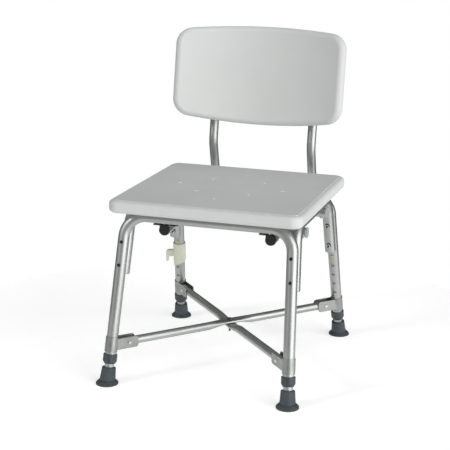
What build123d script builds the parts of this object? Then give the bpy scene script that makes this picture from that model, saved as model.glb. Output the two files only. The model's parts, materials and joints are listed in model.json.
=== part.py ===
from build123d import *

import os
from math import cos, radians, sin, sqrt, tan

# Shower chair: a blow-moulded seat and backrest on a frame of bent aluminium tube, with four
# telescoping legs.  Millimetres.  +Z up, front towards -Y, floor at z = 0.

os.makedirs("parts", exist_ok=True)

# ---------------------------------------------------------------- driving dimensions
center_y = -11.9            # plan centre of the four feet, so that the chair's box is centred on y = 0
fit_gap = 0.1               # gap between pieces that touch within one body
free_gap = 0.3              # gap between pieces that move past each other

# legs: every leg leans in towards the top
foot_x, foot_y = 244.0, 288.8        # foot centres from the plan centre, on the floor
lean_x, lean_y = 0.047, 0.217        # how far a leg leans in for each unit of height
leg_stretch = sqrt(1 + lean_x ** 2 + lean_y ** 2)
leg_radius, leg_wall = 15.0, 1.25
bar_height = 435.0                   # axis of the frames' top bars
frame_bend = 60.0
leg_bottom = 60.0

# side rails: nested inside the two leg frames
rail_pitch = 2 * leg_radius + fit_gap
rail_gap = rail_pitch * sqrt(1 + lean_y ** 2)
rail_bottom, rail_bend = 278.5, 50.0
bolt_heights = (306.0, 365.0)
bolt_radius = 3.0

# extension tubes, snap buttons and feet
ext_radius, ext_wall = 12.5, 1.2
ext_bottom, ext_top = 14.0, 285.0
button_height = 257.0
button_radius = 4.2
hole_pitch, hole_count = 28.6, 5     # along the leg
foot_flange_radius, foot_top = 29.5, 43.0
collar_top, collar_bottom, collar_radius = 77.0, 52.0, 18.5

# small tubes under the seat
tube_radius, tube_wall = 12.5, 1.2
cross_y, cross_half = 108.0, 235.0
cross_height = bar_height - leg_radius - fit_gap - tube_radius
back_x = 145.5
back_height = cross_height - 2 * tube_radius - fit_gap

# seat
seat_width, seat_depth, seat_corner = 514.0, 506.0, 29.0
seat_top, seat_thickness = 484.0, 34.0
seat_bottom = seat_top - seat_thickness
seat_step, seat_inset, seat_roll = 1.5, 12.5, 11.0
seat_wall = 3.5
seat_y = center_y - 1.2
drain_ring, drain_radius, drain_rim = 144.0, 4.2, 6.4
drains = [(drain_ring, 0), (-drain_ring, 0), (0, drain_ring), (0, -drain_ring)]
drains += [(x * drain_ring / 2, y * drain_ring / 2) for x in (-1, 1) for y in (-1, 1)]

# backrest
recline = 10.0
panel_width, panel_height, panel_corner = 491.0, 276.0, 48.0
panel_bow = 19.4                     # how far the top and bottom edges bow out
panel_sag = 66.0                     # how far the ends come forward
panel_thickness, panel_wall, panel_roll = 34.0, 3.5, 14.0
panel_bottom = 603.1
panel_lead = 9.8                     # the back face's middle, ahead of the posts' axes
rib_lead, rib_depth = 8.5, 37.0      # rear ribs that the posts are screwed to
rib_width, rib_corner, rib_draft = 37.0, 12.0, 4.0
rib_low, rib_high = 34.0, 226.0      # along the panel from its lower edge
kink_y, kink_height = 283.0, 545.0
heel_y = 327.0
post_top = 812.0
screw_heights = (665.0, 775.0)

# cross brace
brace_height, brace_radius, brace_wall = 102.0, 11.0, 1.2
brace_flat, brace_flat_width = 8.0, 30.0
brace_end = 26.0                     # from the leg's axis to the end of the brace
bracket_bottom, bracket_top, bracket_wall = 82.5, 121.0, 2.0
ear_height, ear_reach, rivet_reach = 30.0, 72.0, 46.0

# shower head holder, clipped round the rear left leg
holder_bottom, holder_top, holder_radius = 175.0, 246.0, 18.2
hook_low, hook_high, hook_reach, hook_width = 202.0, 222.0, 40.0, 9.0

sides = {"left": -1, "right": 1}
ends = {"front": -1, "rear": 1}
corners = [(f"{e}_{s}", sides[s], ends[e]) for e in ends for s in sides]
from_base = (Align.CENTER, Align.CENTER, Align.MIN)
from_top = (Align.CENTER, Align.CENTER, Align.MAX)


# ---------------------------------------------------------------- places on a leg
def leg_point(side, end, z):
    """Point on a leg's axis at height z."""
    return Vector(side * (foot_x - lean_x * z), center_y + end * (foot_y - lean_y * z), z)


def leg_up(side, end):
    return Vector(-side * lean_x, -end * lean_y, 1).normalized()


def leg_inward(side, end):
    """Square to the leg, towards the middle of the chair along Y."""
    up = leg_up(side, end)
    flat = Vector(0, -end, 0)
    return (flat - up * flat.dot(up)).normalized()


def along_leg(side, end, z):
    """Plane square to the leg: z runs up the leg, x points inward."""
    return Plane(leg_point(side, end, z), x_dir=leg_inward(side, end), z_dir=leg_up(side, end))


def across_leg(side, end, z, start=0.0):
    """Plane whose z points inward from the leg's axis."""
    inward = leg_inward(side, end)
    return Plane(leg_point(side, end, z) + inward * start, x_dir=leg_up(side, end), z_dir=inward)


def leg_section(side, end, z):
    """Plane through the leg's axis: x points inward, y up the leg."""
    inward = leg_inward(side, end)
    return Plane(leg_point(side, end, z), x_dir=inward, z_dir=inward.cross(leg_up(side, end)))


def tube_profile(outer, wall):
    Circle(outer)
    Circle(outer - wall, mode=Mode.SUBTRACT)


# ---------------------------------------------------------------- leg frames
frame_lean = sqrt(1 + lean_y ** 2)
bar_x = foot_x - lean_x * bar_height
frame_points = [
    (-foot_x + lean_x * leg_bottom, leg_bottom * frame_lean),
    (-bar_x, bar_height * frame_lean),
    (bar_x, bar_height * frame_lean),
    (foot_x - lean_x * leg_bottom, leg_bottom * frame_lean),
]
for place, end in ends.items():
    frame_plane = Plane((0, center_y + end * foot_y, 0), x_dir=(1, 0, 0), z_dir=(0, -1, -end * lean_y))
    bolt_planes = [across_leg(s, end, z, -20) for s in (-1, 1) for z in bolt_heights]
    hole_planes = [
        across_leg(s, end, button_height - n * hole_pitch / leg_stretch)
        for s in (-1, 1)
        for n in range(hole_count)
    ]
    with BuildPart() as leg_frame:
        with BuildLine(frame_plane) as route:
            FilletPolyline(*frame_points, radius=frame_bend)
        with BuildSketch(Plane(route.line @ 0, z_dir=route.line % 0)):
            tube_profile(leg_radius, leg_wall)
        sweep()
        with Locations(*bolt_planes):
            Cylinder(bolt_radius + fit_gap, 40, align=from_base, mode=Mode.SUBTRACT)
        with Locations(*hole_planes):
            Cylinder(button_radius + free_gap, 20, align=from_base, mode=Mode.SUBTRACT)
    leg_frame.part.label = f"{place}_leg_frame"
    export_step(leg_frame.part, f"parts/{place}_leg_frame.step")

# ---------------------------------------------------------------- side rails
rail_lean = sqrt(1 + lean_x ** 2)


def rail_y(z):
    return foot_y - lean_y * z - rail_gap


rail_points = [
    (-rail_y(rail_bottom), rail_bottom * rail_lean),
    (-rail_y(bar_height), bar_height * rail_lean),
    (rail_y(bar_height), bar_height * rail_lean),
    (rail_y(rail_bottom), rail_bottom * rail_lean),
]
for place, side in sides.items():
    rail_plane = Plane((side * foot_x, center_y, 0), x_dir=(0, 1, 0), z_dir=(1, 0, side * lean_x))
    bolt_planes = [across_leg(side, e, z, leg_radius) for e in (-1, 1) for z in bolt_heights]
    with BuildPart() as side_rail:
        with BuildLine(rail_plane) as route:
            FilletPolyline(*rail_points, radius=rail_bend)
        with BuildSketch(Plane(route.line @ 0, z_dir=route.line % 0)):
            tube_profile(leg_radius, leg_wall)
        sweep()
        with Locations(*bolt_planes):
            Cylinder(bolt_radius + fit_gap, 40, align=from_base, mode=Mode.SUBTRACT)
        with Locations(*[(side * bar_x, center_y + e * cross_y, bar_height) for e in (-1, 1)]):
            Cylinder(bolt_radius + fit_gap, 40, mode=Mode.SUBTRACT)
    side_rail.part.label = f"side_rail_{place}"
    export_step(side_rail.part, f"parts/side_rail_{place}.step")

# flat plugs in the lower ends of the side rails
plug_shank, plug_cap, plug_chamfer = 12.0, 2.4, 0.8
plug_radius = leg_radius - leg_wall - fit_gap
with BuildPart() as rail_end_plugs:
    for _, side, end in corners:
        foot = leg_point(side, end, rail_bottom) + leg_inward(side, end) * rail_pitch
        foot -= leg_up(side, end) * (foot.Z - rail_bottom) * leg_stretch
        section = Plane(foot, x_dir=leg_inward(side, end), z_dir=leg_section(side, end, 0).z_dir)
        with BuildSketch(section):
            with BuildLine():
                Polyline(
                    (0, plug_shank),
                    (plug_radius, plug_shank),
                    (plug_radius, -fit_gap),
                    (leg_radius, -fit_gap),
                    (leg_radius, plug_chamfer - plug_cap),
                    (leg_radius - plug_chamfer, -plug_cap),
                    (0, -plug_cap),
                    close=True,
                )
            make_face()
        revolve(axis=Axis(foot, leg_up(side, end)))
rail_end_plugs.part.label = "rail_end_plugs"
export_step(rail_end_plugs.part, "parts/rail_end_plugs.step")

# bolts, washers and nuts that hold each side rail to the leg frames
washer_radius, washer_height = 6.5, 1.4
head_radius, head_height = 4.6, 2.6
nut_radius, nut_height = 5.6, 5.0
seat_head_radius, seat_head_height = 5.8, 3.6
bolt_start = -leg_radius - fit_gap
bolt_finish = leg_radius + rail_pitch + fit_gap + washer_height
with BuildPart() as leg_bolts:
    for _, side, end in corners:
        for z in bolt_heights:
            with BuildSketch(across_leg(side, end, z, bolt_start)):
                Circle(bolt_radius)
            extrude(amount=bolt_finish - bolt_start + nut_height + 3)
            with BuildSketch(across_leg(side, end, z, bolt_start)):
                Circle(head_radius)
            extrude(amount=-head_height, taper=18)
leg_bolts.part.label = "leg_bolts"
export_step(leg_bolts.part, "parts/leg_bolts.step")

with BuildPart() as leg_bolt_washers:
    for _, side, end in corners:
        for z in bolt_heights:
            with BuildSketch(across_leg(side, end, z, bolt_finish - washer_height)):
                tube_profile(washer_radius, washer_radius - bolt_radius - fit_gap / 2)
            extrude(amount=washer_height)
leg_bolt_washers.part.label = "leg_bolt_washers"
export_step(leg_bolt_washers.part, "parts/leg_bolt_washers.step")

with BuildPart() as leg_bolt_nuts:
    for _, side, end in corners:
        for z in bolt_heights:
            with BuildSketch(across_leg(side, end, z, bolt_finish)):
                RegularPolygon(nut_radius, 6)
                Circle(bolt_radius + fit_gap / 2, mode=Mode.SUBTRACT)
            extrude(amount=nut_height)
leg_bolt_nuts.part.label = "leg_bolt_nuts"
export_step(leg_bolt_nuts.part, "parts/leg_bolt_nuts.step")

# ---------------------------------------------------------------- cross tubes under the seat
strap_screw_x = [s * back_x + d for s in (-1, 1) for d in (-24.0, 24.0)]
screw_radius = 2.4
for place, end in ends.items():
    tube_y = center_y + end * cross_y
    with BuildPart() as cross_tube:
        with BuildSketch(Plane((-cross_half, tube_y, cross_height), z_dir=(1, 0, 0))):
            tube_profile(tube_radius, tube_wall)
        extrude(amount=2 * cross_half)
        with Locations(*[(s * bar_x, tube_y, cross_height) for s in (-1, 1)]):
            Cylinder(bolt_radius + fit_gap, 40, mode=Mode.SUBTRACT)
        with Locations(*[(x, tube_y, cross_height) for x in strap_screw_x]):
            Cylinder(screw_radius + fit_gap, 20, align=from_top, mode=Mode.SUBTRACT)
    cross_tube.part.label = f"cross_tube_{place}"
    export_step(cross_tube.part, f"parts/cross_tube_{place}.step")

cap_radius, cap_lip, cap_plug = 14.0, 4.0, 6.5
back_cap_radius, back_cap_lip, top_cap_lip, back_cap_plug = 15.2, 5.0, 2.0, 16.0
with BuildPart() as cross_tube_caps:
    for _, side, end in corners:
        tube_y = center_y + end * cross_y
        mouth = Plane((side * (cross_half + fit_gap), tube_y, cross_height), z_dir=(side, 0, 0))
        with BuildSketch(mouth):
            Circle(cap_radius)
        extrude(amount=cap_lip, taper=12)
        with BuildSketch(mouth):
            Circle(tube_radius - tube_wall - fit_gap)
        extrude(amount=-cap_plug)
cross_tube_caps.part.label = "cross_tube_caps"
export_step(cross_tube_caps.part, "parts/cross_tube_caps.step")

# long bolts up through cross tube and side rail into the seat
seat_bolt_depth = 20.0
with BuildPart() as seat_bolts:
    for _, side, end in corners:
        foot = (side * bar_x, center_y + end * cross_y)
        with BuildSketch(Plane.XY.offset(cross_height - tube_radius - fit_gap)):
            with Locations(foot):
                Circle(bolt_radius)
        extrude(amount=seat_bottom + seat_bolt_depth - cross_height + tube_radius)
        with BuildSketch(Plane.XY.offset(cross_height - tube_radius - fit_gap)):
            with Locations(foot):
                Circle(seat_head_radius)
        extrude(amount=-seat_head_height, taper=18)
seat_bolts.part.label = "seat_bolts"
export_step(seat_bolts.part, "parts/seat_bolts.step")

# ---------------------------------------------------------------- seat
seat_bolt_spots = [(s * bar_x, center_y + e * cross_y, seat_bottom) for _, s, e in corners]
seat_boss_radius = 9.0


def seat_outline(margin):
    with Locations((0, seat_y)):
        RectangleRounded(seat_width - 2 * margin, seat_depth - 2 * margin, seat_corner - margin)


with BuildPart() as seat_cavity:
    with BuildSketch(Plane.XY.offset(seat_bottom + seat_wall)):
        seat_outline(seat_wall)
    extrude(amount=seat_thickness - seat_step - 2 * seat_wall)
    fillet(faces().filter_by(Axis.Z).edges(), seat_roll - seat_wall)
    with Locations(*[(x, seat_y + y, seat_bottom + seat_thickness / 2) for x, y in drains]):
        Cylinder(drain_rim + 3, seat_thickness, mode=Mode.SUBTRACT)
    with Locations(*seat_bolt_spots):
        Cylinder(seat_boss_radius, seat_thickness, align=from_base, mode=Mode.SUBTRACT)

with BuildPart() as seat_panel:
    with BuildSketch(Plane.XY.offset(seat_bottom)):
        seat_outline(0)
    extrude(amount=seat_thickness - seat_step)
    fillet(faces().filter_by(Axis.Z).edges(), seat_roll)
    with BuildSketch(Plane.XY.offset(seat_top - seat_step - 0.5)):
        seat_outline(seat_inset)
    extrude(amount=seat_step + 0.5)
    fillet(faces().sort_by(Axis.Z)[-1].edges(), 1.2)
    with Locations(*[(x, seat_y + y, seat_top) for x, y in drains]):
        CounterSinkHole(drain_radius, drain_rim, depth=seat_thickness + 1)
    with Locations(*seat_bolt_spots):
        Cylinder(bolt_radius + fit_gap / 2, 2 * seat_bolt_depth + 1, mode=Mode.SUBTRACT)
    add(seat_cavity.part, mode=Mode.SUBTRACT)
seat_panel.part.label = "seat_panel"
export_step(seat_panel.part, "parts/seat_panel.step")

# ---------------------------------------------------------------- back tubes
back_front = -cross_y - 14.0
post_slope = tan(radians(recline))


def post_y(z):
    """Axis of the reclined part of a post."""
    return kink_y + (z - kink_height) * post_slope


back_points = [
    (center_y + back_front, back_height),
    (center_y + heel_y, back_height),
    (center_y + kink_y, kink_height),
    (center_y + post_y(post_top), post_top),
]
post_up = Vector(0, sin(radians(recline)), cos(radians(recline)))
post_forward = Vector(0, -cos(radians(recline)), sin(radians(recline)))
top_mouths = [
    Plane(Vector(s * back_x, center_y + post_y(post_top), post_top) + post_up * fit_gap, z_dir=post_up)
    for s in (-1, 1)
]
front_mouths = [
    Plane((s * back_x, center_y + back_front - fit_gap, back_height), z_dir=(0, -1, 0)) for s in (-1, 1)
]
for place, side in sides.items():
    with BuildPart() as back_tube:
        with BuildLine(Plane((side * back_x, 0, 0), x_dir=(0, 1, 0), z_dir=(1, 0, 0))) as route:
            FilletPolyline(*back_points, radius=(58.0, 75.0))
        with BuildSketch(Plane(route.line @ 0, z_dir=route.line % 0)):
            tube_profile(tube_radius, tube_wall)
        sweep()
        with Locations(
            *[Plane((side * back_x, center_y + post_y(z), z), z_dir=post_forward) for z in screw_heights]
        ):
            Cylinder(screw_radius + fit_gap, 40, mode=Mode.SUBTRACT)
    back_tube.part.label = f"back_tube_{place}"
    export_step(back_tube.part, f"parts/back_tube_{place}.step")

with BuildPart() as back_tube_caps:
    for mouths, radius, lip in (
        (front_mouths, back_cap_radius, back_cap_lip),
        (top_mouths, tube_radius, top_cap_lip),
    ):
        for mouth in mouths:
            with BuildSketch(mouth):
                Circle(radius)
            extrude(amount=lip, taper=14)
            with BuildSketch(mouth):
                Circle(tube_radius - tube_wall - fit_gap)
            extrude(amount=-back_cap_plug)
back_tube_caps.part.label = "back_tube_caps"
export_step(back_tube_caps.part, "parts/back_tube_caps.step")

# saddle straps that hold the back tubes up against the cross tubes
strap_width, strap_half, strap_wall = 28.0, 34.0, 2.0
strap_top = back_height + tube_radius
strap_inner = tube_radius + fit_gap / 2
strap_outer = strap_inner + strap_wall
for name, side, end in corners:
    axis_point = (side * back_x, back_height)
    with BuildPart() as strap:
        with BuildSketch(Plane.XZ.offset(-(center_y + end * cross_y) - strap_width / 2)):
            with Locations(axis_point):
                Circle(strap_outer)
                Rectangle(2 * strap_outer, tube_radius, align=(Align.CENTER, Align.MIN))
                Circle(strap_inner, mode=Mode.SUBTRACT)
                Rectangle(
                    2 * strap_inner, 2 * tube_radius, align=(Align.CENTER, Align.MIN), mode=Mode.SUBTRACT
                )
            for way in (-1, 1):
                with Locations((side * back_x + way * (strap_half + tube_radius + 1) / 2, strap_top)):
                    Rectangle(strap_half - tube_radius - 1, strap_wall, align=(Align.CENTER, Align.MAX))
        extrude(amount=strap_width)
        upright = edges().filter_by(Axis.Z).group_by(Axis.X)
        fillet(upright[0] + upright[-1], 6)
        with Locations(*[(side * back_x + d, center_y + end * cross_y, strap_top) for d in (-24.0, 24.0)]):
            Cylinder(screw_radius + fit_gap, 10, mode=Mode.SUBTRACT)
    strap.part.label = f"saddle_strap_{name}"
    export_step(strap.part, f"parts/saddle_strap_{name}.step")

with BuildPart() as strap_screws:
    for end in (-1, 1):
        for x in strap_screw_x:
            head_plane = Plane.XY.offset(strap_top - strap_wall - fit_gap / 2)
            with BuildSketch(head_plane):
                with Locations((x, center_y + end * cross_y)):
                    Circle(screw_radius)
            extrude(amount=14)
            with BuildSketch(head_plane):
                with Locations((x, center_y + end * cross_y)):
                    Circle(4.8)
            extrude(amount=-2.8, taper=20)
strap_screws.part.label = "strap_screws"
export_step(strap_screws.part, "parts/strap_screws.step")

# ---------------------------------------------------------------- backrest
# middle of the back face's lower edge
panel_back = post_y(panel_bottom) - panel_lead / cos(radians(recline))
panel_base = Vector(0, center_y + panel_back, panel_bottom)
panel_outline = Plane(panel_base, x_dir=(1, 0, 0), z_dir=post_forward)
panel_plan = Plane(panel_base - post_up * 30, x_dir=(1, 0, 0), z_dir=post_up)


def panel_solid(margin, roll):
    """The panel's outer form, drawn in by a margin all round."""
    half = panel_width / 2 - margin
    low, high = margin, panel_height - margin
    deep = panel_thickness - margin
    with BuildPart() as form:
        with BuildSketch(panel_outline):
            with BuildLine():
                ThreePointArc((-half, low + panel_bow), (0, low), (half, low + panel_bow))
                Line((half, low + panel_bow), (half, high - panel_bow))
                ThreePointArc((half, high - panel_bow), (0, high), (-half, high - panel_bow))
                Line((-half, high - panel_bow), (-half, low + panel_bow))
            make_face()
            fillet(vertices(), panel_corner - margin)
        extrude(amount=panel_thickness + panel_sag + 30, both=True)
        with BuildSketch(panel_plan):
            with BuildLine():
                wide = panel_width / 2 + 20
                end_sag = panel_sag * (wide / (panel_width / 2)) ** 2
                ThreePointArc((-wide, -end_sag - margin), (0, -margin), (wide, -end_sag - margin))
                Line((wide, -end_sag - margin), (wide, -end_sag - deep))
                ThreePointArc((wide, -end_sag - deep), (0, -deep), (-wide, -end_sag - deep))
                Line((-wide, -end_sag - deep), (-wide, -end_sag - margin))
            make_face()
        extrude(amount=panel_height + 60, mode=Mode.INTERSECT)
        fillet([e for e in edges() if abs((e % 0.5).dot(post_forward)) < 0.7], roll)
    return form.part


panel_cavity_form = panel_solid(panel_wall, panel_roll - panel_wall)
rib_inner = rib_lead + rib_depth
rib_planes = [
    Plane(
        Vector(s * back_x, center_y + post_y(panel_bottom), panel_bottom)
        + post_up * (rib_low + rib_high) / 2
        + post_forward * rib_inner,
        x_dir=(-1, 0, 0),
        z_dir=post_forward * -1,
    )
    for s in (-1, 1)
]
post_planes = [
    Plane(Vector(s * back_x, center_y + post_y(panel_bottom), panel_bottom) - post_up * 40, z_dir=post_up)
    for s in (-1, 1)
]
panel_screws = [
    Plane((s * back_x, center_y + post_y(z), z), x_dir=(1, 0, 0), z_dir=post_forward)
    for s in (-1, 1)
    for z in screw_heights
]
post_run = (post_top - panel_bottom) / cos(radians(recline)) + 40 + 3
screw_reach = tube_radius + 30.0
boss_radius = 7.0
boss_reach = panel_lead + panel_sag * (back_x / panel_width * 2) ** 2 + panel_thickness - panel_wall / 2
with BuildPart() as panel_cavity:
    add(panel_cavity_form)
    for plane in rib_planes:
        with BuildSketch(plane):
            RectangleRounded(
                rib_width - 2 * panel_wall, rib_high - rib_low - 2 * panel_wall, rib_corner - panel_wall
            )
        extrude(amount=rib_depth - panel_wall, taper=rib_draft)
    with Locations(*post_planes):
        Cylinder(tube_radius + panel_wall, post_run + panel_wall, align=from_base, mode=Mode.SUBTRACT)
    with Locations(*panel_screws):
        Cylinder(boss_radius, boss_reach, align=from_base, mode=Mode.SUBTRACT)

with BuildPart() as backrest_panel:
    add(panel_solid(0, panel_roll))
    for plane in rib_planes:
        with BuildSketch(plane):
            RectangleRounded(rib_width, rib_high - rib_low, rib_corner)
        extrude(amount=rib_depth, taper=rib_draft)
    with Locations(*post_planes):
        Cylinder(tube_radius + fit_gap, post_run, align=from_base, mode=Mode.SUBTRACT)
    with Locations(*panel_screws):
        Cylinder(screw_radius + fit_gap / 2, screw_reach + 1, align=from_base, mode=Mode.SUBTRACT)
    add(panel_cavity.part, mode=Mode.SUBTRACT)
backrest_panel.part.label = "backrest_panel"
export_step(backrest_panel.part, "parts/backrest_panel.step")

with BuildPart() as backrest_screws:
    for plane in panel_screws:
        with BuildSketch(plane.offset(-tube_radius - fit_gap)):
            Circle(screw_radius)
        extrude(amount=tube_radius + fit_gap + screw_reach)
        with BuildSketch(plane.offset(-tube_radius - fit_gap)):
            Circle(5.0)
        extrude(amount=-3.0, taper=20)
backrest_screws.part.label = "backrest_screws"
export_step(backrest_screws.part, "parts/backrest_screws.step")

# ---------------------------------------------------------------- cross brace
brace_run = leg_point(1, 1, brace_height) - leg_point(-1, -1, brace_height)
brace_half = brace_run.length / 2 - brace_end
flat_half, neck_half = 26.0, 66.0
flat_shift = (brace_flat + fit_gap) / 2
# name of the brace, side of its front end, how far its flat lies above the brace's axis
braces = [("brace_upper", -1, flat_shift), ("brace_lower", 1, -flat_shift)]
for name, side, shift in braces:
    start, finish = leg_point(side, -1, brace_height), leg_point(-side, 1, brace_height)
    ahead = (finish - start).normalized()
    middle = (start + finish) / 2
    sideways = Vector(0, 0, 1).cross(ahead)
    stations = [
        (-brace_half, 0), (-neck_half, 0), (-flat_half, 1), (flat_half, 1), (neck_half, 0), (brace_half, 0)
    ]
    shells = []
    for wall in (0.0, brace_wall):
        with BuildPart() as shell:
            for distance, flat in stations:
                place = middle + ahead * distance + Vector(0, 0, shift * flat)
                high = (brace_flat if flat else 2 * brace_radius) - 2 * wall
                wide = (brace_flat_width if flat else 2 * brace_radius) - 2 * wall
                with BuildSketch(Plane(place, x_dir=sideways, z_dir=ahead)):
                    RectangleRounded(wide, high, high / 2 - 0.02)
            loft(ruled=True)
        shells.append(shell.part)
    rivet_planes = [
        Plane(middle + ahead * way * (brace_run.length / 2 - rivet_reach), z_dir=sideways) for way in (-1, 1)
    ]
    with BuildPart() as brace:
        add(shells[0])
        add(shells[1], mode=Mode.SUBTRACT)
        with Locations((middle.X, middle.Y, brace_height)):
            Cylinder(bolt_radius + fit_gap, 60, mode=Mode.SUBTRACT)
        with Locations(*rivet_planes):
            Cylinder(bolt_radius + fit_gap, 60, mode=Mode.SUBTRACT)
    brace.part.label = name
    export_step(brace.part, f"parts/{name}.step")

brace_top = brace_height + fit_gap / 2 + brace_flat + fit_gap
brace_under = brace_height - fit_gap / 2 - brace_flat - fit_gap
with BuildPart() as brace_centre_bolt:
    with BuildSketch(Plane.XY.offset(brace_under - 16)):
        with Locations((0, center_y)):
            Circle(bolt_radius)
    extrude(amount=brace_top - brace_under + 16)
    with BuildSketch(Plane.XY.offset(brace_top)):
        with Locations((0, center_y)):
            Circle(8.0)
    extrude(amount=4.6, taper=25)
brace_centre_bolt.part.label = "brace_centre_bolt"
export_step(brace_centre_bolt.part, "parts/brace_centre_bolt.step")

with BuildPart() as brace_centre_nut:
    with BuildSketch(Plane.XY.offset(brace_under)):
        with Locations((0, center_y)):
            tube_profile(8.0, 8.0 - bolt_radius - fit_gap / 2)
    extrude(amount=-1.4)
    with BuildSketch(Plane.XY.offset(brace_under - 1.4)):
        with Locations((0, center_y)):
            RegularPolygon(6.2, 6)
            Circle(bolt_radius + fit_gap / 2, mode=Mode.SUBTRACT)
    extrude(amount=-6.5)
brace_centre_nut.part.label = "brace_centre_nut"
export_step(brace_centre_nut.part, "parts/brace_centre_nut.step")

# brackets that wrap each leg and hold a brace end between two ears
ear_gap = 2 * brace_radius + 2 * fit_gap
bracket_parts = {}
with BuildPart() as brace_rivets:
    for name, side, end in corners:
        hub = leg_point(side, end, brace_height)
        toward = (Vector(0, center_y, brace_height) - hub).normalized()
        rivet = Plane(hub + toward * rivet_reach, x_dir=toward, z_dir=Vector(0, 0, 1).cross(toward))
        reach = ear_gap / 2 + bracket_wall + fit_gap
        with BuildSketch(rivet.offset(-reach)):
            Circle(bolt_radius)
        extrude(amount=2 * reach)
        for way in (-1, 1):
            with BuildSketch(rivet.offset(way * reach)):
                Circle(5.4)
            extrude(amount=way * 2.6, taper=28)
brace_rivets.part.label = "brace_rivets"
export_step(brace_rivets.part, "parts/brace_rivets.step")

for name, side, end in corners:
    hub = leg_point(side, end, brace_height)
    toward = (Vector(0, center_y, brace_height) - hub).normalized()
    ear_plane = Plane(hub, x_dir=toward, z_dir=Vector(0, 0, 1).cross(toward))
    with BuildPart() as bracket:
        with BuildSketch(along_leg(side, end, bracket_bottom)):
            Circle(leg_radius + fit_gap / 2 + bracket_wall)
        extrude(amount=(bracket_top - bracket_bottom) * leg_stretch)
        for way in (-1, 1):
            inner = way * ear_gap / 2
            with BuildSketch(ear_plane.offset(inner)):
                with Locations((ear_reach / 2 - 4, 0)):
                    RectangleRounded(ear_reach + 8, ear_height, 8)
            extrude(amount=way * bracket_wall)
        with BuildSketch(along_leg(side, end, bracket_bottom - 30)):
            Circle(leg_radius + fit_gap / 2)
        extrude(amount=(bracket_top - bracket_bottom + 60) * leg_stretch, mode=Mode.SUBTRACT)
        with Locations(Plane(hub + toward * rivet_reach, z_dir=ear_plane.z_dir)):
            Cylinder(bolt_radius + fit_gap, 60, mode=Mode.SUBTRACT)
    bracket.part.label = f"brace_bracket_{name}"
    export_step(bracket.part, f"parts/brace_bracket_{name}.step")

# ---------------------------------------------------------------- collars, extensions, feet, snap buttons
spring_width, spring_wall = 8.0, 0.8
for name, side, end in corners:
    up, inward = leg_up(side, end), leg_inward(side, end)
    leg_axis = Axis(leg_point(side, end, 0), up)

    # collar: bush on the leg's lower end that the extension tube slides in
    tall = (collar_top - collar_bottom) * leg_stretch
    socket = (leg_bottom - collar_bottom) * leg_stretch
    with BuildPart() as leg_collar:
        with BuildSketch(leg_section(side, end, collar_bottom)):
            with BuildLine():
                Polyline(
                    (ext_radius + free_gap, 0),
                    (collar_radius - 4, 0),
                    (collar_radius, 7),
                    (collar_radius, tall - 1.5),
                    (collar_radius - 1, tall),
                    (leg_radius + fit_gap / 2, tall),
                    (leg_radius + fit_gap / 2, socket - fit_gap),
                    (ext_radius + free_gap, socket - fit_gap),
                    close=True,
                )
            make_face()
        revolve(axis=leg_axis)
    leg_collar.part.label = f"leg_collar_{name}"
    export_step(leg_collar.part, f"parts/leg_collar_{name}.step")

    # extension tube
    with BuildPart() as leg_extension:
        with BuildSketch(along_leg(side, end, ext_bottom)):
            tube_profile(ext_radius, ext_wall)
        extrude(amount=(ext_top - ext_bottom) * leg_stretch)
        with Locations(across_leg(side, end, button_height)):
            Cylinder(button_radius + free_gap, 20, align=from_base, mode=Mode.SUBTRACT)
    leg_extension.part.label = f"leg_extension_{name}"
    export_step(leg_extension.part, f"parts/leg_extension_{name}.step")

    # rubber foot: a tapered boot along the leg on a flat round pad
    foot_socket = ext_radius + fit_gap / 2
    with BuildPart() as rubber_foot:
        with BuildSketch(leg_section(side, end, 0)):
            with BuildLine():
                Polyline(
                    (0, -12), (21.5, -12), (20.6, 12), (18.4, foot_top * leg_stretch - 2),
                    (17.0, foot_top * leg_stretch), (0, foot_top * leg_stretch), close=True,
                )
            make_face()
        revolve(axis=leg_axis)
        split(bisect_by=Plane.XY, keep=Keep.TOP)
        with BuildSketch(Plane.XY):
            with Locations((side * foot_x, center_y + end * foot_y)):
                Circle(foot_flange_radius)
        extrude(amount=3.6)
        with BuildSketch(Plane.XY.offset(3.6)):
            with Locations((side * foot_x, center_y + end * foot_y)):
                Circle(foot_flange_radius)
        extrude(amount=7.0, taper=45)
        with BuildSketch(along_leg(side, end, ext_bottom)):
            Circle(foot_socket)
        extrude(amount=60, mode=Mode.SUBTRACT)
        with BuildSketch(Plane.XY):
            with Locations((side * foot_x, center_y + end * foot_y)):
                for groove in (9.0, 16.0, 23.0):
                    Circle(groove + 1.2)
                    Circle(groove - 1.2, mode=Mode.SUBTRACT)
        extrude(amount=1.4, mode=Mode.SUBTRACT)
    rubber_foot.part.label = f"rubber_foot_{name}"
    export_step(rubber_foot.part, f"parts/rubber_foot_{name}.step")

    # snap button: flanged pin with a domed head
    with BuildPart() as snap_button:
        with BuildSketch(across_leg(side, end, button_height, 8.2)):
            Circle(5.6)
        extrude(amount=1.4)
        with BuildSketch(across_leg(side, end, button_height, 9.0)):
            Circle(button_radius)
        extrude(amount=9.0)
        fillet(faces().sort_by(Axis((0, 0, 0), inward))[-1].edges(), 2.2)
    snap_button.part.label = f"snap_button_{name}"
    export_step(snap_button.part, f"parts/snap_button_{name}.step")

    # V spring inside the tube that pushes the button out
    with BuildPart() as snap_spring:
        with BuildSketch(leg_section(side, end, button_height)):
            with BuildLine():
                FilletPolyline(
                    (7.7, 9), (7.7, -8), (1.5, -38), (-6.0, -38), (-9.9, -8), (-9.9, 8), radius=3.0
                )
            trace(line_width=spring_wall)
        extrude(amount=spring_width / 2, both=True)
    snap_spring.part.label = f"snap_spring_{name}"
    export_step(snap_spring.part, f"parts/snap_spring_{name}.step")

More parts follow.
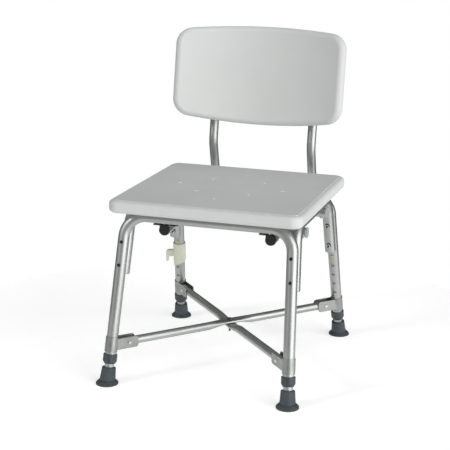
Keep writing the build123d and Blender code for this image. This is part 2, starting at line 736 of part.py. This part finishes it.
# ---------------------------------------------------------------- shower head holder
holder_up = leg_up(-1, 1)
hook_way = Vector(-1, -0.3, 0)
outward = (hook_way - holder_up * hook_way.dot(holder_up)).normalized()
hook_plane = Plane(leg_point(-1, 1, hook_low), x_dir=outward, z_dir=outward.cross(holder_up))
hook_rise = (hook_high - hook_low) * leg_stretch
with BuildPart() as shower_holder:
    with BuildSketch(along_leg(-1, 1, holder_bottom)):
        Circle(holder_radius)
    extrude(amount=(holder_top - holder_bottom) * leg_stretch)
    chamfer(edges().filter_by(GeomType.CIRCLE), 1.0)
    slant = Plane(leg_point(-1, 1, holder_bottom + 8), z_dir=(holder_up + outward * 0.42).normalized())
    split(bisect_by=slant, keep=Keep.TOP)
    with BuildSketch(hook_plane):
        with BuildLine():
            Polyline(
                (10, 0), (hook_reach - 8, 0), (hook_reach - 8, -16), (hook_reach, -16),
                (hook_reach, hook_rise), (10, hook_rise), close=True,
            )
        make_face()
        fillet(vertices().group_by(Axis.X)[-1].sort_by(Axis.Y)[-1:], 11)
        fillet(vertices().group_by(Axis.Y)[0], 3.6)
    extrude(amount=hook_width / 2, both=True)
    with BuildSketch(along_leg(-1, 1, holder_bottom - 20)):
        Circle(leg_radius + free_gap)
    extrude(amount=120, mode=Mode.SUBTRACT)
shower_holder.part.label = "shower_holder"
export_step(shower_holder.part, "parts/shower_holder.step")
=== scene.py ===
import json
from math import cos, radians, sin

import bpy
from mathutils import Euler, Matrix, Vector


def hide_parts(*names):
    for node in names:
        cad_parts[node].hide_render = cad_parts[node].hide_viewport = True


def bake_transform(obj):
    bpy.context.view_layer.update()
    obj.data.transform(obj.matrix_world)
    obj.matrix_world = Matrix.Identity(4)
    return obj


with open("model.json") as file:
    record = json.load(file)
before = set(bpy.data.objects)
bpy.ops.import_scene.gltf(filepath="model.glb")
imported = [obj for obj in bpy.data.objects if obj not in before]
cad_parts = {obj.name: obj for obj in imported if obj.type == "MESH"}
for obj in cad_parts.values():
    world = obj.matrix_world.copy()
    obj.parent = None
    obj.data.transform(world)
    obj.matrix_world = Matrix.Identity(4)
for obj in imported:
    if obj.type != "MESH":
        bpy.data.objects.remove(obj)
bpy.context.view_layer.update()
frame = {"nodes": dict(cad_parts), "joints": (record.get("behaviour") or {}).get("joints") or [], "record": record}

scene = bpy.context.scene
nodes = frame["nodes"]


# ---------------------------------------------------------------- material helpers
noise_range = 0.3, 0.7
# Mix has sockets of the same name for each data type, so these are reached by number
mix_float_a, mix_float_b, mix_float_result = 2, 3, 0
mix_color_a, mix_color_b, mix_color_result = 6, 7, 2


def remapped(tree, value, start, end, low, high):
    """A value that runs from low to high as the given one runs from start to end."""
    remap = tree.nodes.new("ShaderNodeMapRange")
    remap.inputs["From Min"].default_value = start
    remap.inputs["From Max"].default_value = end
    remap.inputs["To Min"].default_value = low
    remap.inputs["To Max"].default_value = high
    tree.links.new(value, remap.inputs["Value"])
    return remap.outputs["Result"]


class Shader:
    """A Principled material, with short calls for the nodes that feed it."""

    def __init__(self, name, color, roughness, metallic=0.0, **sockets):
        self.material = bpy.data.materials.new(name)
        self.material.use_nodes = True
        self.tree = self.material.node_tree
        self.bsdf = self.tree.nodes["Principled BSDF"]
        self.bsdf.inputs["Base Color"].default_value = (*color, 1)
        self.bsdf.inputs["Roughness"].default_value = roughness
        self.bsdf.inputs["Metallic"].default_value = metallic
        for socket, value in sockets.items():
            self.bsdf.inputs[socket.replace("_", " ")].default_value = value
        self.normal = None
        self.place = self.tree.nodes.new("ShaderNodeTexCoord").outputs["Object"]

    def node(self, kind, **values):
        made = self.tree.nodes.new("ShaderNode" + kind)
        for key, value in values.items():
            if key in made.inputs:
                made.inputs[key].default_value = value
            else:
                setattr(made, key, value)
        return made

    def link(self, output, target):
        self.tree.links.new(output, target)

    def noise(self, scale, detail):
        noise = self.node("TexNoise", Scale=scale, Detail=detail)
        self.link(self.place, noise.inputs["Vector"])
        return noise.outputs["Fac"]

    def ramp(self, value, low, high):
        """Noise remapped to run from low to high over the range it mostly keeps to."""
        return remapped(self.tree, value, *noise_range, low, high)

    def color(self, value, dark, light):
        mix = self.node("Mix", data_type="RGBA")
        self.link(self.ramp(value, 0, 1), mix.inputs["Factor"])
        mix.inputs[mix_color_a].default_value = (*dark, 1)
        mix.inputs[mix_color_b].default_value = (*light, 1)
        self.link(mix.outputs[mix_color_result], self.bsdf.inputs["Base Color"])

    def bump(self, value, distance, strength):
        bump = self.node("Bump", Strength=strength, Distance=distance)
        self.link(value, bump.inputs["Height"])
        if self.normal:
            self.link(self.normal, bump.inputs["Normal"])
        self.normal = bump.outputs["Normal"]
        self.link(self.normal, self.bsdf.inputs["Normal"])


def white_polyethylene():
    m = Shader("white_polyethylene", (0.63, 0.64, 0.632), 0.55, Specular_IOR_Level=0.35)
    m.color(m.noise(6, 4), (0.60, 0.612, 0.604), (0.63, 0.64, 0.632))
    m.link(m.ramp(m.noise(18, 5), 0.5, 0.62), m.bsdf.inputs["Roughness"])
    m.bump(m.noise(350, 2), 0.00008, 0.25)
    m.bump(m.noise(14, 2), 0.0005, 0.25)
    return m.material


def anodised_tube():
    m = Shader("anodised_tube", (0.43, 0.44, 0.432), 0.42, 1.0)
    m.color(m.noise(9, 4), (0.37, 0.38, 0.372), (0.43, 0.44, 0.432))
    m.link(m.ramp(m.noise(12, 4), 0.38, 0.46), m.bsdf.inputs["Roughness"])
    return m.material


def pressed_bracket():
    m = Shader("pressed_bracket", (0.35, 0.36, 0.35), 0.4, 1.0)
    m.color(m.noise(25, 4), (0.28, 0.29, 0.28), (0.35, 0.36, 0.35))
    m.link(m.ramp(m.noise(60, 5), 0.33, 0.5), m.bsdf.inputs["Roughness"])
    m.bump(m.noise(150, 3), 0.00008, 0.3)
    return m.material


def plain(name, dark, light, low, high, metallic=0.0):
    """A finish between two colours and two roughnesses, with a fine grain."""
    m = Shader(name, light, high, metallic)
    m.color(m.noise(40, 4), dark, light)
    m.link(m.ramp(m.noise(80, 5), low, high), m.bsdf.inputs["Roughness"])
    m.bump(m.noise(200, 3), 0.00008, 0.3)
    return m.material


plain_finishes = {
    "zinc_steel": ((0.55, 0.55, 0.53), (0.66, 0.66, 0.64), 0.22, 0.4, 1.0),
    "black_oxide_steel": ((0.025, 0.025, 0.026), (0.06, 0.06, 0.062), 0.3, 0.45, 1.0),
    "black_washer": ((0.02, 0.024, 0.024), (0.035, 0.04, 0.04), 0.35, 0.55),
    "black_cap_plastic": ((0.008, 0.011, 0.011), (0.016, 0.02, 0.02), 0.3, 0.45),
    "grey_plug_plastic": ((0.3, 0.32, 0.33), (0.36, 0.38, 0.39), 0.4, 0.55),
    "slate_plastic": ((0.026, 0.036, 0.041), (0.040, 0.053, 0.060), 0.35, 0.5),
    "slate_rubber": ((0.028, 0.039, 0.045), (0.044, 0.058, 0.066), 0.5, 0.7),
    "brass_button": ((0.42, 0.34, 0.12), (0.6, 0.5, 0.22), 0.25, 0.45, 1.0),
    "spring_steel": ((0.25, 0.25, 0.26), (0.36, 0.36, 0.38), 0.25, 0.4, 1.0),
    "ivory_plastic": ((0.56, 0.57, 0.46), (0.62, 0.63, 0.52), 0.4, 0.55),
}
materials = {
    "white_polyethylene": white_polyethylene(),
    "anodised_tube": anodised_tube(),
    "pressed_bracket": pressed_bracket(),
}
for name, finish in plain_finishes.items():
    materials[name] = plain(name, *finish)
for entry in frame["record"]["subparts"]:
    node = nodes[entry["node"]]
    node.data.materials.clear()
    node.data.materials.append(materials[entry["material_slot"]])


def bend_spring(joint):
    """A copy of the button's spring takes the place of the rigid spring, which is hidden; the copy is not bent
    here.
    """
    rigid = nodes[joint["child"].replace("button", "spring")]
    spring = bpy.data.objects.new("bending_" + rigid.name, rigid.data.copy())
    scene.collection.objects.link(spring)
    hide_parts(rigid.name)
    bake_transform(spring)


for joint in frame["joints"]:
    if joint["name"].startswith("snap_button_press"):
        bend_spring(joint)


# ---------------------------------------------------------------- stage
# brightness of the studio, and the parts of the view direction's Y and Z that it fades over
studio_front, studio_back = 0.56, 0.18
studio_top, studio_low = 0.85, 0.6
fade_y_back, fade_y_front = 0.9, -0.7
fade_z_low, fade_z_top = -0.3, 0.7
floor_radius, floor_sides = 0.95, 96
floor_glow = 0.54


def make_floor():
    mesh = bpy.data.meshes.new("floor")
    turns = [radians(360 * n / floor_sides) for n in range(floor_sides)]
    rim = [(floor_radius * cos(turn), floor_radius * sin(turn), 0) for turn in turns]
    mesh.from_pydata(rim, [], [tuple(range(floor_sides))])
    floor = bpy.data.objects.new("floor", mesh)
    scene.collection.objects.link(floor)
    m = Shader("floor_paper", (0.75, 0.75, 0.75), 0.9, Specular_IOR_Level=0.0)
    m.bsdf.inputs["Emission Color"].default_value = (1, 1, 1, 1)
    m.bsdf.inputs["Emission Strength"].default_value = floor_glow
    mesh.materials.append(m.material)


def make_world():
    """A grey studio, brighter in front and overhead than behind, and plain white to the camera."""
    world = bpy.data.worlds.new("studio")
    scene.world = world
    world.use_nodes = True
    tree = world.node_tree
    background = tree.nodes["Background"]
    background.inputs["Color"].default_value = (1, 1, 1, 1)
    coordinate = tree.nodes.new("ShaderNodeTexCoord")
    split = tree.nodes.new("ShaderNodeSeparateXYZ")
    tree.links.new(coordinate.outputs["Generated"], split.inputs["Vector"])
    depth = remapped(tree, split.outputs["Y"], fade_y_back, fade_y_front, studio_back, studio_front)
    height = remapped(tree, split.outputs["Z"], fade_z_low, fade_z_top, studio_low, studio_top)
    product = tree.nodes.new("ShaderNodeMath")
    product.operation = "MULTIPLY"
    tree.links.new(depth, product.inputs[0])
    tree.links.new(height, product.inputs[1])
    path = tree.nodes.new("ShaderNodeLightPath")
    mix = tree.nodes.new("ShaderNodeMix")
    tree.links.new(path.outputs["Is Camera Ray"], mix.inputs["Factor"])
    tree.links.new(product.outputs["Value"], mix.inputs[mix_float_a])
    mix.inputs[mix_float_b].default_value = 1.0
    tree.links.new(mix.outputs[mix_float_result], background.inputs["Strength"])


def sun(name, azimuth, elevation, spread, strength):
    """A soft source far away, in degrees; azimuth runs from the front (-Y) towards +X."""
    data = bpy.data.lights.new(name, "SUN")
    data.angle = radians(spread)
    data.energy = strength
    light = bpy.data.objects.new(name, data)
    scene.collection.objects.link(light)
    turn, rise = radians(azimuth), radians(elevation)
    towards = Vector((sin(turn) * cos(rise), -cos(turn) * cos(rise), sin(rise)))
    light.rotation_euler = towards.to_track_quat("Z", "Y").to_euler()


def make_camera():
    """The photo's camera: the view solved from it, looking at a point near the seat's legs."""
    azimuth, elevation, roll = radians(17.61), radians(14.95), radians(0.68)
    distance = 3.4414
    target = Vector((-0.0172, -0.0119, 0.3770))
    level = cos(elevation)
    forward = Vector((-sin(azimuth) * level, cos(azimuth) * level, -sin(elevation)))
    data = bpy.data.cameras.new("camera")
    data.sensor_width = 36.0
    data.lens = 102.05
    camera = bpy.data.objects.new("camera", data)
    scene.collection.objects.link(camera)
    camera.location = target - forward * distance
    rotation = Euler((radians(90) - elevation, 0, azimuth))
    rotation.rotate_axis("Z", roll)
    camera.rotation_euler = rotation
    scene.camera = camera


make_floor()
make_world()
sun("right_softbox", 70, 10, 70, 2.9)
sun("overhead_softbox", 10, 75, 50, 0.1)
sun("front_left_lamp", -45, 25, 10, 0.78)
make_camera()
scene.view_settings.view_transform = "Standard"
